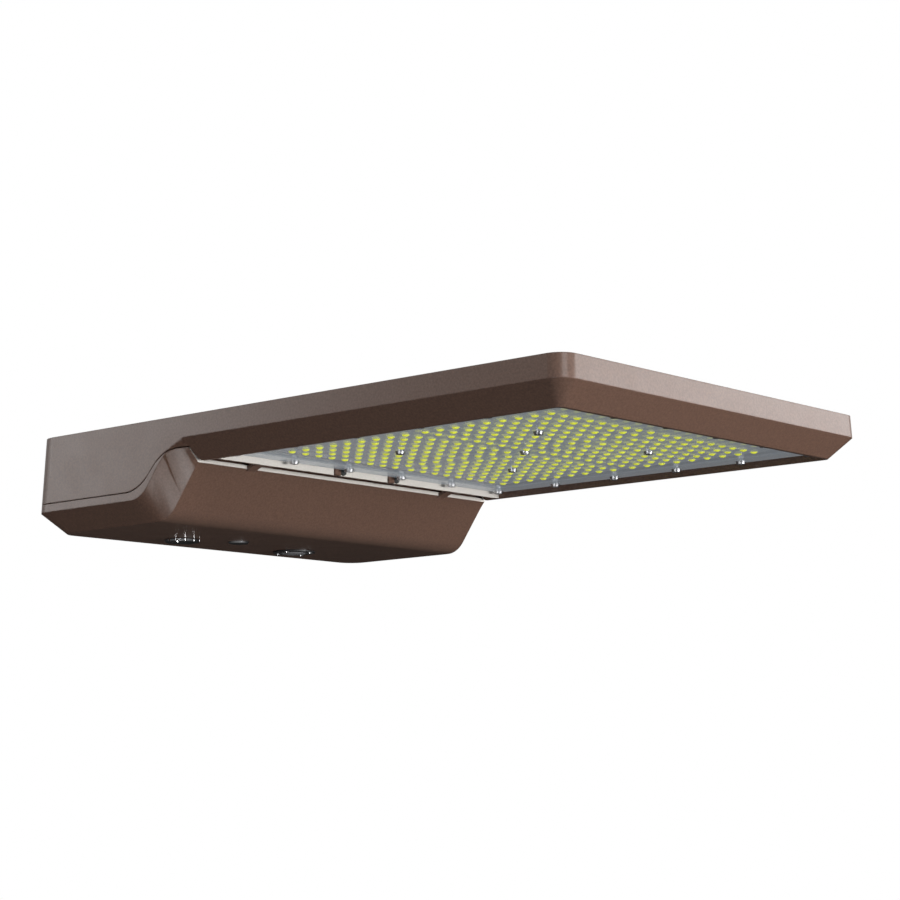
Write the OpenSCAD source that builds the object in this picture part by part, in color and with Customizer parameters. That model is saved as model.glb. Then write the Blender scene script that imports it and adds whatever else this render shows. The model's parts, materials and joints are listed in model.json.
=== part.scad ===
// Shoebox area light: die-cast head with a hinged driver door, a square LED array under a
// clear lens, and a bolted mounting face. Lengths are in mm, +X runs from the mounting face
// to the front end, +Z is up, and the origin is the centre of the mounting bolt pattern.

/* [Body] */
// Width across the top edges
body_w = 350; // [346:1:380]
// Length from the mounting face to the front end
body_l = 515.5; // [512.5:0.5:550]
// How far the rear wall's top edge is in front of the mounting face
rear_x = 2.5; // [2.5:0.1:4]
// Height of the upright wall round the optical section
rim_wall_h = 16.3; // [15.5:0.1:17.5]
// Height of the upright wall round the driver section
driver_wall_h = 57.3; // [56:0.1:62]
// Size of the chamfer along the lower edges
chamfer = 15.4; // [14.5:0.1:16.5]
// Lean of the side walls for each mm of drop
draft = 0.04; // [0.02:0.005:0.05]
// Plan radius of the front corners
corner_r = 13; // [9:1:16]
// Plan radius of the front corners at the rim
rim_corner_r = 5; // [3:0.5:8]
// Plan radius of the rear corners
rear_corner_r = 20; // [16:1:24]
// Plan radius of the driver section's floor corners
floor_corner_r = 15; // [10:1:18]
// Wall thickness of the castings
wall = 3; // [2.6:0.1:3.4]
// Thickness of the roof over the drivers
roof_t = 3.5; // [3:0.1:4]

/* [Swept step] */
// Where the lower edge of the wall starts to rise
step_start = 115; // [110.5:0.5:116.5]
// How much further forward the floor starts to rise
step_lead = 12.5; // [11:0.5:14]
// Slope of the step
step_angle = 53; // [50:1:56]
// Radius where the driver section turns up into the step
heel_r = 22; // [18:1:25]
// Radius where the wall's edge eases out into the optical section
toe_r = 45; // [40:1:48]
// Slope left at the kink where the toe ends
toe_end_angle = 14; // [10:1:18]

/* [Driver door] */
// Height of the door's upright band under the seam
band_h = 5.7; // [5:0.1:6.5]
// Height below the top of the level seam beside the door's lip
lip_split = 22.8; // [22:0.1:24]
// How far behind the step the seam starts to rise
seam_lead = 7; // [6:0.5:9]
// Radius where the seam turns up
seam_heel_r = 34; // [31:1:36]
// Slope of the seam
seam_angle = 48; // [46:1:49]
// Radius where the seam levels out
split_r = 36; // [33:1:38]
// Gap of the seam between the castings
seam_gap = 0.8; // [0.5:0.1:1]
// Where the door's lip ends
lip_end = 169; // [167.5:0.1:169.5]
// Thickness of the door's lip
lip_t = 2.3; // [2:0.1:2.6]
// Depth of the ribs inside the door
rib_h = 5; // [3:0.5:7]

/* [Hinge] */
// Distance of the hinge axis from the mounting face
hinge_x = 176; // [175.5:0.1:176.5]
// Depth of the hinge axis below the roof of the hinge slot
hinge_drop = 6.5; // [6:0.1:7]
// Spacing of the two hinge arms, centre to centre
hinge_spacing = 214; // [180:1:240]
// Width of a hinge arm
arm_w = 8.6; // [7:0.1:10]
// Radius of the arm's and the lug's eye
eye_r = 4.5; // [4.2:0.1:4.7]
// Diameter of the hinge pins
pin_d = 5; // [4:0.1:5.5]
// Width of a hinge lug
lug_w = 8; // [6:0.5:10]

/* [Optics] */
// Length of the hinge slot between the driver section and the end rail
slot_l = 20.7; // [20:0.1:22]
// Depth of the lens recess floor below the top
deck_z = 20; // [19.5:0.1:20.5]
// Thickness of the deck between the LED boards and the fins
deck_t = 7; // [6.5:0.1:9]
// Thickness of the end rail between the lens and the hinge slot
rail_t = 3; // [2.5:0.1:3.5]
// Screws along one side of the lens
screw_n = 6; // [5:1:7]
// Distance of the screws from the recess's front and back walls
screw_edge_x = 7.8; // [7:0.1:8.5]
// Distance of the screws from the recess's side walls
screw_edge_y = 9.75; // [8:0.05:10]
// Distance of the LED boards from the recess's front and back walls
board_edge_x = 31.3; // [24:0.1:36]
// Distance of the LED boards from the recess's side walls
board_edge_y = 33.25; // [24:0.05:36]
// Gap between two LED boards
board_gap = 8; // [2:0.5:12]
// Thickness of an LED board
board_t = 1.6; // [1:0.1:2]
// LEDs along one side of a board
led_count = 9; // [7:2:9]
// Distance of the outer LEDs' centres from the board's edge
led_edge = 5; // [4:0.5:8]
// Side of one LED
led_w = 3.4; // [2.5:0.1:4]
// Height of one LED
led_t = 0.8; // [0.5:0.1:0.9]
// Thickness of the lens gasket
gasket_t = 3; // [2.8:0.1:3.2]
// Thickness of the lens plate
lens_t = 3; // [2.5:0.1:3.2]
// Extra thickness of the border round the lens plate
border_t = 1.1; // [0.8:0.1:1.4]
// Width of the border round the lens plate
border_w = 14; // [12:0.5:16]
// Diameter of one lenslet
lenslet_d = 10; // [8:0.1:11]
// Height of one lenslet
lenslet_h = 1.5; // [1:0.1:2]
// Diameter of the lens screws' heads
head_d = 7.6; // [7:0.1:8.4]
// Height of the lens screws' heads
head_h = 2.2; // [1.8:0.1:2.6]
// Diameter of the lens screws' shanks
shank_d = 3.6; // [3:0.1:4]

/* [Cooling fins] */
// Spacing of the fins
fin_pitch = 14; // [12:1:18]
// Thickness of a fin
fin_t = 2.4; // [2:0.1:3]
// How far the fins stay below the top
fin_drop = 1.5; // [1:0.1:2.5]

/* [Mounting face] */
// Depth of the bolt line below the top
mount_drop = 26; // [25:0.5:27]
// Spacing of the two mounting bolts
bolt_spacing = 80; // [70:1:100]
// Diameter of the mounting bolt holes
bolt_hole_d = 11; // [9:0.5:13]
// Diameter of the wireway through the mounting face
wireway_d = 25; // [20:0.5:28]
// Thickness of the casting behind the mounting face
pad_t = 10; // [8:0.5:12]

/* [Latch and fittings] */
// Distance of the latch from the mounting face
latch_x = 54.5; // [52.5:0.5:58.5]
// Offset of the latch to the near side
latch_y = 71; // [66:1:76]
// Diameter of the latch knob
knob_d = 28; // [26:0.5:32]
// Thickness of the latch knob
knob_h = 1.6; // [1.4:0.1:2.4]
// Diameter of the latch shaft
latch_shaft_d = 9; // [8:0.1:10]
// Reach of the latch cam
cam_reach = 28; // [26:0.5:30]
// Diameter of the vent plug's head
vent_d = 16.5; // [15:0.5:19]
// Offset of the vent plug to the near side
vent_y = 28; // [26:0.5:32]
// Offset of the sensor socket to the far side
socket_y = 54.5; // [51:0.5:60]
// Diameter of the sensor socket's flange
socket_d = 34.5; // [33:0.5:38]
// Diameter of the sensor socket's cap
cap_d = 21; // [19:0.5:22]

/* [Drivers] */
// Space between a driver's outer end and the rim of the head
driver_side = 4; // [2:0.5:12]
// Width of a driver along the length of the head
driver_w = 62; // [56:1:64]
// Height of a driver
driver_h = 34; // [30:1:36]

/* [Hidden] */

seat = 0.15;             // gap between faces that meet
run = 0.05;              // radial clearance of a running fit
hole_clear = 0.3;        // radial clearance of a screw hole
eps = 0.01;
far = 1000;
stations = 30;           // sections along the swept step
arc_steps = 8;           // sections round a corner
edge_shift = tan(22.5);  // how far an edge of the chamfer moves for each mm of inset

bronze = [0.24, 0.17, 0.13];
silicone = [0.1, 0.1, 0.1];
steel = [0.75, 0.75, 0.76];

rim_z = -rim_wall_h - chamfer;
floor_z = -driver_wall_h - chamfer;
floor_start = step_start + step_lead;
cos_a = cos(step_angle);
sin_a = sin(step_angle);
tan_a = tan(step_angle);

// The wall's lower edge: heel arc, straight slope, toe arc
heel_end_x = step_start + heel_r * sin_a;
heel_end_z = -driver_wall_h + heel_r * (1 - cos_a);
toe_cz = -rim_wall_h - toe_r * cos(toe_end_angle);
toe_start_z = toe_cz + toe_r * cos_a;
toe_start_x = heel_end_x + (toe_start_z - heel_end_z) / tan_a;
toe_cx = toe_start_x + toe_r * sin_a;
toe_end_x = toe_cx - toe_r * sin(toe_end_angle);
step_end = hinge_x + 1;
hinge_depth = deck_z + hinge_drop;

// The seam: level over the band, a heel arc, a slope, then an arc out to the level split
seam_level = -driver_wall_h + band_h;
seam_start = step_start - seam_lead;
seam_rise_x = seam_start + seam_heel_r * sin(seam_angle);
seam_rise_z = seam_level + seam_heel_r * (1 - cos(seam_angle));
seam_cz = -lip_split - split_r;
seam_arc_z = seam_cz + split_r * cos(seam_angle);
seam_arc_x = seam_rise_x + (seam_arc_z - seam_rise_z) / tan(seam_angle);
seam_cx = seam_arc_x + split_r * sin(seam_angle);

function heel_line_z(x, start, low, inset) =
    let (r = heel_r - inset, cz = low + heel_r, end_x = start + r * sin_a)
    x <= start ? cz - r :
    x <= end_x ? cz - sqrt(r * r - pow(x - start, 2)) :
    cz - r * cos_a + (x - end_x) * tan_a;
function wall_edge_z(x, inset = 0) =
    x < toe_start_x ? heel_line_z(x, step_start, -driver_wall_h, inset) :
    x < toe_end_x ? toe_cz + inset + sqrt(toe_r * toe_r - pow(x - toe_cx, 2)) :
    -rim_wall_h + inset;
function floor_edge_z(x, inset = 0) =
    min(heel_line_z(x, floor_start, floor_z, inset), rim_z + inset);
function seam_z(x) =
    x < seam_start ? seam_level :
    x < seam_rise_x ? seam_level + seam_heel_r - sqrt(pow(seam_heel_r, 2) - pow(x - seam_start, 2)) :
    x < seam_arc_x ? seam_rise_z + (x - seam_rise_x) * tan(seam_angle) :
    x < seam_cx ? seam_cz + sqrt(split_r * split_r - pow(x - seam_cx, 2)) :
    -lip_split;

function lean(z) = draft * abs(z);

arc = [for (i = [0 : arc_steps]) 90 * i / arc_steps];
joint_x = 60;            // where the rounded rear end meets the straight sides
station_gap = (step_end - seam_start + 1) / stations;
step_xs = [for (i = [stations : -1 : 0]) step_end - i * station_gap];
seam_xs = [for (i = [stations - 1 : -1 : 0]) step_end - (i + 0.5) * station_gap];

// One cross-section of the body, moved in by an inset: top, wall edge and floor edge on each side
function section(x, inset, top) =
    let (wz = wall_edge_z(x, inset * edge_shift),
         fz = floor_edge_z(x, inset),
         ty = body_w / 2 + lean(top) - inset,
         wy = body_w / 2 + lean(wz) - inset,
         fy = body_w / 2 + lean(wz) - chamfer - edge_shift * inset)
    [[x, -ty, top], [x, -wy, wz], [x, -fy, fz], [x, fy, fz], [x, wy, wz], [x, ty, top]];

module loft(sections) {
    n = len(sections[0]);
    m = len(sections);
    sides = [for (i = [0 : m - 2], j = [0 : n - 1])
             let (a = i * n + j, b = i * n + (j + 1) % n)
             each [[a, b + n, b], [a, a + n, b + n]]];
    ends = [[for (j = [0 : n - 1]) j], [for (j = [n - 1 : -1 : 0]) (m - 1) * n + j]];
    polyhedron(points = [for (s = sections) each s], faces = concat(sides, ends));
}

// A profile in X and Z, run along Y
module run_y(y0, y1) {
    translate([0, y1, 0]) rotate([90, 0, 0]) linear_extrude(y1 - y0) children();
}

module block(x, y, z) {
    translate([x[0], y[0], z[0]]) cube([x[1] - x[0], y[1] - y[0], z[1] - z[0]]);
}

module rounded(x, y, r) {
    translate([x[0] + r, y[0]]) square([x[1] - x[0] - 2 * r, y[1] - y[0]]);
    translate([x[0], y[0] + r]) square([x[1] - x[0], y[1] - y[0] - 2 * r]);
    for (px = [x[0] + r, x[1] - r], py = [y[0] + r, y[1] - r])
        translate([px, py]) circle(r, $fn = 32);
}

// Everything is drawn with the top at zero and set down to the bolt line here
module placed() {
    translate([0, 0, mount_drop]) children();
}

// ---- Body form ----

// One plan outline of the rear end, from the far side round the two rear corners
function rear_ring(z, out, r) =
    let (cx = rear_x - out + r, cy = body_w / 2 + out - r)
    concat([[joint_x, cy + r, z]],
           [for (a = arc) [cx - r * sin(a), cy + r * cos(a), z]],
           [for (a = arc) [cx - r * cos(a), -cy - r * sin(a), z]],
           [[joint_x, -cy - r, z]]);

// The rear end's floor, wall edge and top, moved in by an inset
module rear_form(inset, top) {
    wz = wall_edge_z(0, inset * edge_shift);
    wall_r = rear_corner_r - inset;
    loft([rear_ring(floor_edge_z(0, inset), lean(wz) - chamfer - inset * edge_shift, floor_corner_r - inset),
          rear_ring(wz, lean(wz) - inset, wall_r),
          rear_ring(top, lean(top) - inset, wall_r)]);
}

module driver_form(inset, top, x1) {
    rear_form(inset, top);
    xs = concat([joint_x], [for (x = step_xs) if (x < x1 - 1) x], [x1]);
    loft([for (x = xs) section(x, inset, top)]);
}

// One plan outline of the optical section, from its back edge round the two front corners
function front_ring(z, out, r) =
    let (cx = body_l + out - r, cy = body_w / 2 + out - r)
    concat([[step_end, -cy - r, z]],
           [for (a = arc) [cx + r * sin(a), -cy - r * cos(a), z]],
           [for (a = arc) [cx + r * cos(a), cy + r * sin(a), z]],
           [[step_end, cy + r, z]]);

module front_form() {
    loft([front_ring(rim_z, lean(rim_wall_h) - chamfer, rim_corner_r),
          front_ring(-rim_wall_h, lean(rim_wall_h), corner_r),
          front_ring(0, 0, corner_r)]);
}

// Everything under the seam, up to the lip's end
module under_seam(raise, end_x) {
    xs = [for (x = seam_xs) if (x < end_x) x];
    run_y(-far / 2, far / 2) polygon(concat(
        [[-far, seam_z(0) + raise]],
        [for (x = xs) [x, seam_z(x) + raise]],
        [[end_x, -lip_split + raise], [end_x, -far], [-far, -far]]));
}

// Room for the end of the door's lip to swing under the rim: what lies outside a circle
// about the hinge axis
module lip_swing() {
    difference() {
        block([lip_end, hinge_x], [-far / 2, far / 2], [-far, -hinge_depth]);
        translate([hinge_x, 0, -hinge_depth]) rotate([90, 0, 0])
            cylinder(r = hinge_x - lip_end - seam_gap, h = 2 * far, center = true, $fn = 64);
    }
}

// A strip inside the walls that follows the seam, from one height over it to another
module seam_strip(z0, z1, edge, x1) {
    xs = concat([-1], [for (x = seam_xs) if (x < x1) x], [x1]);
    intersection() {
        driver_form(edge, -roof_t, x1);
        difference() {
            run_y(-far / 2, far / 2) polygon(concat(
                [for (x = xs) [x, seam_z(x) + z1]],
                [for (i = [len(xs) - 1 : -1 : 0]) [xs[i], seam_z(xs[i]) + z0]]));
            block([flange_x, x1 + 1], [-flange_in, flange_in], [floor_z, 0]);
        }
    }
}

// ---- Places ----

recess_y = body_w / 2 + lean(rim_wall_h) - chamfer - wall;
lip_reach = 5.5;         // how far the lip runs on under the bulkhead
bulkhead_x = lip_end - lip_reach;
bulkhead_bottom = floor_edge_z(bulkhead_x, wall) + 1.6;
cavity_end = bulkhead_x - wall;
flange_w = 5;
flange_t = 2.8;
door_gasket_t = 2.2;
gasket_edge = 0.4;
flange_in = body_w / 2 + lean(lip_split) - wall - flange_w;
flange_x = rear_x - lean(driver_wall_h) + wall + flange_w;
slot_x0 = bulkhead_x;
slot_x1 = slot_x0 + slot_l;
recess_x0 = slot_x1 + rail_t;
recess_x1 = body_l + lean(rim_wall_h) - chamfer - wall;
optic_x = (recess_x0 + recess_x1) / 2;
lens_z = -deck_z - gasket_t;
lens_face = lens_z - lens_t;
border_face = lens_face - border_t;
lens_gap = 1.8;
board_face = -deck_z - board_t;
fin_depth = deck_z - deck_t;
screw_last = screw_n - 1;
screw_run = [(recess_x1 - recess_x0) / 2 - screw_edge_x, recess_y - screw_edge_y];
perimeter = [for (i = [0 : screw_last], j = [0 : screw_last])
             if (i == 0 || j == 0 || i == screw_last || j == screw_last)
             [optic_x + screw_run[0] * (2 * i / screw_last - 1), screw_run[1] * (2 * j / screw_last - 1)]];
board_l = (recess_x1 - recess_x0 - board_gap) / 2 - board_edge_x;
board_w = recess_y - board_gap / 2 - board_edge_y;
board_at = [for (sx = [-1, 1], sy = [-1, 1])
            [optic_x + sx * (board_l + board_gap) / 2, sy * (board_w + board_gap) / 2]];
inner_screws = concat(board_at, [[optic_x, 0]]);
led_last = led_count - 1;
led_run = [board_l / 2 - led_edge, board_w / 2 - led_edge];
leds = [for (i = [0 : led_last], j = [0 : led_last])
        if (i != led_last / 2 || j != led_last / 2)
        [led_run[0] * (2 * i / led_last - 1), led_run[1] * (2 * j / led_last - 1)]];
shank_in = 3.5;
plate_r = 4;
lenslet_taper = 0.62;
head_taper = 0.82;
slot_w = 1;
slot_t = 1;
thread_d = shank_d + 2 * run;
arm_at = [-hinge_spacing / 2, hinge_spacing / 2];
lug_gap = 0.4;
plug_at = [-28, 32];
plug_d = 6;
plug_z = rim_z + plug_d / 2 + hole_clear;
rail_pad_w = 6.4;
lead_at = [-16, 16];
lead_d = 3;
lead_hole_d = 4.4;
lead_z = -deck_z + deck_t / 2;
lead_end = optic_x - board_gap / 2 - board_l + 5;

// ---- Housing ----

module at_perimeter() {
    for (p = perimeter) translate([p[0], p[1], 0]) children();
}

module at_inner() {
    for (p = inner_screws) translate([p[0], p[1], 0]) children();
}

// An eye on the hinge axis, with a stem up to a level
module eye(stem, width) {
    rotate([90, 0, 0]) translate([0, 0, -width / 2]) linear_extrude(width) {
        circle(eye_r, $fn = 48);
        if (stem > 0) translate([-eye_r, 0]) square([2 * eye_r, stem]);
    }
}

module at_hinge(dy) {
    for (y = arm_at) translate([hinge_x, y + dy, -hinge_depth]) children();
}

lug_dy = arm_w / 2 + lug_gap + lug_w / 2;
fin_rim = 7;

module fins() {
    pocket_y = body_w / 2 - fin_rim;
    pocket_x0 = cavity_end + 2 * wall;
    pocket_x1 = body_l - fin_rim;
    difference() {
        translate([0, 0, -fin_depth]) linear_extrude(fin_depth + 1)
            rounded([pocket_x0, pocket_x1], [-pocket_y, pocket_y], corner_r - wall);
        for (i = [-floor(pocket_y / fin_pitch) : floor(pocket_y / fin_pitch)])
            block([pocket_x0 - 1, pocket_x1 + 1],
                  [i * fin_pitch - fin_t / 2, i * fin_pitch + fin_t / 2],
                  [-fin_depth - 1, -fin_drop]);
    }
}

pad_rim = 6;
face_h = wireway_d + 19;
face_w = bolt_spacing + 50;
face_r = 8;
bolt_at = [-bolt_spacing / 2, bolt_spacing / 2];

module mount_pad(y, hole_d) {
    r = hole_d / 2 + pad_rim;
    block([rear_x, pad_t], [y - r, y + r], [-mount_drop - r, -roof_t + eps]);
}

// The mounting face is a flat raised on the leaning rear wall, with more metal behind each hole
module mount_pads() {
    for (y = bolt_at) mount_pad(y, bolt_hole_d);
    mount_pad(0, wireway_d);
    translate([0, 0, -mount_drop]) rotate([90, 0, 90]) linear_extrude(rear_x + 1)
        rounded([-face_w / 2, face_w / 2], [-face_h / 2, face_h / 2], face_r);
}

// A round hole along X
module hole_x(x, y, z, d, fn) {
    translate([x[0], y, z]) rotate([0, 90, 0]) cylinder(d = d, h = x[1] - x[0], $fn = fn);
}

module mount_holes() {
    for (y = bolt_at) hole_x([-1, pad_t + 1], y, -mount_drop, bolt_hole_d, 64);
    hole_x([-1, pad_t + 1], 0, -mount_drop, wireway_d, 64);
}

// Bosses under the roof carry the drivers, the surge protector and the terminal block
driver_back = 46;
driver_x = [step_start - driver_back, step_start - driver_back + driver_w];
driver_gap = 8;
driver_boss_h = 4;
driver_top = -roof_t - driver_boss_h;
boss_d = 9;
ear_l = 9;
ear_t = 2;
driver_l = flange_in - driver_gap - 2 * ear_l - driver_side;
boss_y = [for (s = [-1, 1], e = [driver_gap + ear_l / 2, driver_gap + 1.5 * ear_l + driver_l]) s * e];
boss_x = (driver_x[0] + driver_x[1]) / 2;
block_x = [34.5, 56.5];
block_mid = (block_x[0] + block_x[1]) / 2;
surge_y = [60, 112];
terminal_y = [-112, -62];
block_boss_h = 3;
block_top = -roof_t - block_boss_h;
block_boss_y = concat(surge_y, terminal_y);
ground_x = 30.5;
ground_y = -(body_w / 2 - 50);
fixing_in = 2.8;         // how far a fixing screw goes into its boss or the roof

// A screw hole going up from a face
module tapped(face) {
    translate([0, 0, face - eps]) cylinder(d = thread_d, h = fixing_in + 0.4, $fn = 24);
}

module bosses() {
    for (y = boss_y) translate([boss_x, y, driver_top])
        cylinder(d = boss_d, h = driver_boss_h + 1, $fn = 32);
    for (y = block_boss_y) translate([block_mid, y, block_top])
        cylinder(d = boss_d, h = block_boss_h + 1, $fn = 32);
}

module boss_holes() {
    for (y = boss_y) translate([boss_x, y, 0]) tapped(driver_top);
    for (y = block_boss_y) translate([block_mid, y, 0]) tapped(block_top);
    translate([ground_x, ground_y, 0]) tapped(-roof_t);
}

// Two small pads on the end rail, each beside a plugged hole
module rail_pads() {
    for (y = plug_at)
        block([slot_x1, recess_x0 + lens_gap - hole_clear],
              [y - plug_d / 2 - rail_pad_w - 2 * hole_clear, y - plug_d / 2 - 2 * hole_clear],
              [rim_z, lens_face]);
}

// The LED leads run through the deck to a pocket over each board's edge
module lead_ways() {
    for (y = lead_at) {
        hole_x([cavity_end - 1, lead_end], y, lead_z, lead_hole_d, 32);
        block([lead_end - lead_hole_d, lead_end + 1], [y - lead_hole_d / 2, y + lead_hole_d / 2],
              [-deck_z - 1, lead_z + lead_hole_d / 2]);
    }
}

module housing() {
    color(bronze) placed() difference() {
        union() {
            difference() {
                union() {
                    driver_form(0, 0, step_end);
                    front_form();
                }
                under_seam(seam_gap, lip_end + seam_gap);
                lip_swing();
                driver_form(wall, -roof_t, cavity_end);
                block([slot_x0, slot_x1], [-recess_y, recess_y], [-far / 2, -deck_z]);
                block([recess_x0, recess_x1], [-recess_y, recess_y], [-far / 2, -deck_z]);
                fins();
            }
            block([cavity_end, bulkhead_x], [-recess_y + 1, recess_y - 1], [bulkhead_bottom, -deck_z + 1]);
            seam_strip(seam_gap + door_gasket_t, seam_gap + door_gasket_t + flange_t, wall - 1, cavity_end);
            keeper_pad();
            at_hinge(lug_dy) eye(hinge_drop + 1, lug_w);
            mount_pads();
            bosses();
            rail_pads();
        }
        mount_holes();
        boss_holes();
        lead_ways();
        at_hinge(lug_dy) rotate([90, 0, 0])
            cylinder(d = pin_d + 2 * run, h = 2 * lug_w, center = true, $fn = 48);
        at_perimeter() translate([0, 0, -deck_z - 1])
            cylinder(d = thread_d, h = shank_in + 1.3, $fn = 24);
        at_inner() translate([0, 0, -deck_z - 1]) cylinder(d = thread_d, h = shank_in + 1.3, $fn = 24);
        for (y = plug_at) hole_x([slot_x1 - 1, recess_x0 + 1], y, plug_z, plug_d + 2 * run, 32);
        at_keeper_screws() translate([0, 0, keeper_face - keeper_in])
            cylinder(d = thread_d, h = keeper_in + 1, $fn = 24);
    }
}

module door_gasket() {
    color(silicone) placed() {
        seam_strip(2 * seat, seam_gap + door_gasket_t - 2 * seat, wall + gasket_edge, cavity_end - gasket_edge);
        block([cavity_end, bulkhead_x], [-recess_y + 1, recess_y - 1],
              [bulkhead_bottom - 1, bulkhead_bottom - seat]);
    }
}

// ---- Optics ----

module plate_outline(inset) {
    rounded([recess_x0 + inset, recess_x1 - inset], [-recess_y + inset, recess_y - inset], plate_r);
}

module screw_hole(h, d = shank_d) {
    cylinder(d = d + 2 * hole_clear, h = h, $fn = 24);
}

module optic_gasket() {
    color(silicone) placed() difference() {
        translate([0, 0, lens_z]) linear_extrude(gasket_t) difference() {
            plate_outline(lens_gap);
            plate_outline(lens_gap + border_w);
        }
        at_perimeter() translate([0, 0, lens_z - 1]) screw_hole(gasket_t + 2);
    }
}

module lenslets() {
    for (b = board_at, p = leds) translate([b[0] + p[0], b[1] + p[1], lens_face - lenslet_h])
        cylinder(d1 = lenslet_d * lenslet_taper, d2 = lenslet_d, h = lenslet_h + lens_t / 2, $fn = 24);
}

module optic_lens() {
    color([0.8, 0.85, 0.9, 0.4]) placed() difference() {
        union() {
            translate([0, 0, lens_face]) linear_extrude(lens_t) plate_outline(lens_gap);
            translate([0, 0, border_face]) linear_extrude(border_t + lens_t / 2) difference() {
                plate_outline(lens_gap);
                plate_outline(lens_gap + border_w);
            }
            lenslets();
        }
        at_perimeter() translate([0, 0, border_face - 1]) screw_hole(border_t + lens_t + 2);
        at_inner() translate([0, 0, lens_face - 1]) screw_hole(lens_t + 2);
    }
}

module lens_screw(face) {
    difference() {
        union() {
            translate([0, 0, face - head_h])
                cylinder(d1 = head_d * head_taper, d2 = head_d, h = head_h, $fn = 32);
            translate([0, 0, face - eps]) cylinder(d = shank_d, h = -deck_z + shank_in - face, $fn = 24);
        }
        for (a = [0, 90]) rotate([0, 0, a])
            translate([-head_d / 4, -slot_w / 2, face - head_h - 1])
                cube([head_d / 2, slot_w, slot_t + 1]);
    }
}

module lens_screws() {
    color(steel) placed() at_perimeter() lens_screw(border_face - seat);
}

module module_screws() {
    color(steel) placed() at_inner() rotate([0, 0, 45]) lens_screw(lens_face - seat);
}

module led_board(i) {
    half_l = [-board_l / 2, board_l / 2];
    half_w = [-board_w / 2, board_w / 2];
    color([0.62, 0.64, 0.66]) placed() translate([board_at[i][0], board_at[i][1], board_face - seat])
        difference() {
            linear_extrude(board_t) rounded(half_l, half_w, plate_r);
            translate([0, 0, -1]) screw_hole(board_t + 2);
        }
}

module led_chips(i) {
    color([0.85, 0.85, 0.25]) placed() translate([board_at[i][0], board_at[i][1], board_face - led_t - seat])
        for (p = leds) translate([p[0] - led_w / 2, p[1] - led_w / 2, 0]) cube([led_w, led_w, led_t]);
}

module led_board_1() { led_board(0); }
module led_board_2() { led_board(1); }
module led_board_3() { led_board(2); }
module led_board_4() { led_board(3); }
module led_chips_1() { led_chips(0); }
module led_chips_2() { led_chips(1); }
module led_chips_3() { led_chips(2); }
module led_chips_4() { led_chips(3); }

connector = [6, 8, 1];
connector_edge = 1;

// One connector on each board, at the edge nearest the middle of the head
module board_connectors() {
    color([0.9, 0.9, 0.88]) placed() for (b = board_at) {
        side = sign(b[1]);
        y = b[1] - side * (board_w / 2 - connector_edge - connector[1] / 2);
        translate([b[0] - led_run[0] / led_last - connector[0] / 2, y - connector[1] / 2,
                   board_face - connector[2] - 2 * seat])
            cube(connector);
    }
}

plug_lip = 0.8;

// Rubber plugs that close the two holes through the end rail
module rail_plugs() {
    color(silicone) placed() for (y = plug_at) {
        hole_x([slot_x1 - 2 * plug_lip, recess_x0 + plug_lip], y, plug_z, plug_d, 32);
        hole_x([slot_x1 - 2 * plug_lip - seat, slot_x1 - seat], y, plug_z, plug_d + 2 * plug_lip, 32);
    }
}

// The LED leads run level from the drivers and turn down to the boards
module board_leads() {
    color([0.75, 0.1, 0.1]) placed() for (y = lead_at) {
        hole_x([driver_x[1] + seat, lead_end - hole_clear], y, lead_z, lead_d, 32);
        translate([lead_end - lead_hole_d / 2, y, -deck_z])
            cylinder(d = lead_d * 0.8, h = lead_z + deck_z, $fn = 24);
    }
}

module supply_leads() {
    color([0.1, 0.1, 0.1]) placed() for (y = supply_at)
        hole_x([block_x[1] + seat, driver_x[0] - seat], y, lead_z, lead_d, 32);
}

supply_at = [-90, -80, -70, 70, 80];

// ---- Driver gear ----

case_edge = 4;
ear_w = 16;

module driver(s) {
    y0 = driver_gap + ear_l;
    low = driver_top - driver_h;
    color([0.86, 0.87, 0.88]) placed() mirror([0, s < 0 ? 1 : 0, 0]) difference() {
        union() {
            run_y(y0, y0 + driver_l) polygon([
                [driver_x[0], driver_top - seat], [driver_x[1], driver_top - seat],
                [driver_x[1], low + case_edge], [driver_x[1] - case_edge, low],
                [driver_x[0] + case_edge, low], [driver_x[0], low + case_edge]]);
            block([boss_x - ear_w / 2, boss_x + ear_w / 2], [driver_gap, y0 + driver_l + ear_l],
                  [driver_top - seat - ear_t, driver_top - seat]);
        }
        for (y = [y0 - ear_l / 2, y0 + driver_l + ear_l / 2])
            translate([boss_x, y, driver_top - ear_t - 1]) screw_hole(ear_t + 2);
    }
}

module driver_1() { driver(-1); }
module driver_2() { driver(1); }

// A pan-head screw that hangs under a face, with its shank going up into a boss
module fixing(face, top) {
    translate([0, 0, face - head_h])
        cylinder(d1 = head_d * head_taper, d2 = head_d, h = head_h, $fn = 32);
    translate([0, 0, face - eps]) cylinder(d = shank_d, h = top - face, $fn = 24);
}

module driver_screws() {
    color(steel) placed() for (y = boss_y)
        translate([boss_x, y, 0]) fixing(driver_top - 2 * seat - ear_t, driver_top + fixing_in);
}

block_end = 6;
tab_w = 12;
surge_h = 24;
terminal_h = 16;
ways = 3;
way_pitch = 10;
way_w = 7;
way_h = 8;

// A block on two tabs, each tab under a boss
module block_body(y, h) {
    difference() {
        union() {
            block(block_x, [y[0] + block_end, y[1] - block_end], [block_top - h, block_top - seat]);
            block([block_mid - tab_w / 2, block_mid + tab_w / 2], [y[0] - tab_w / 2, y[1] + tab_w / 2],
                  [block_top - seat - ear_t, block_top - seat]);
        }
        for (p = y) translate([block_mid, p, block_top - ear_t - 1]) screw_hole(ear_t + 2);
    }
}

module surge_protector() {
    color([0.12, 0.12, 0.13]) placed() block_body(surge_y, surge_h);
}

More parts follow.
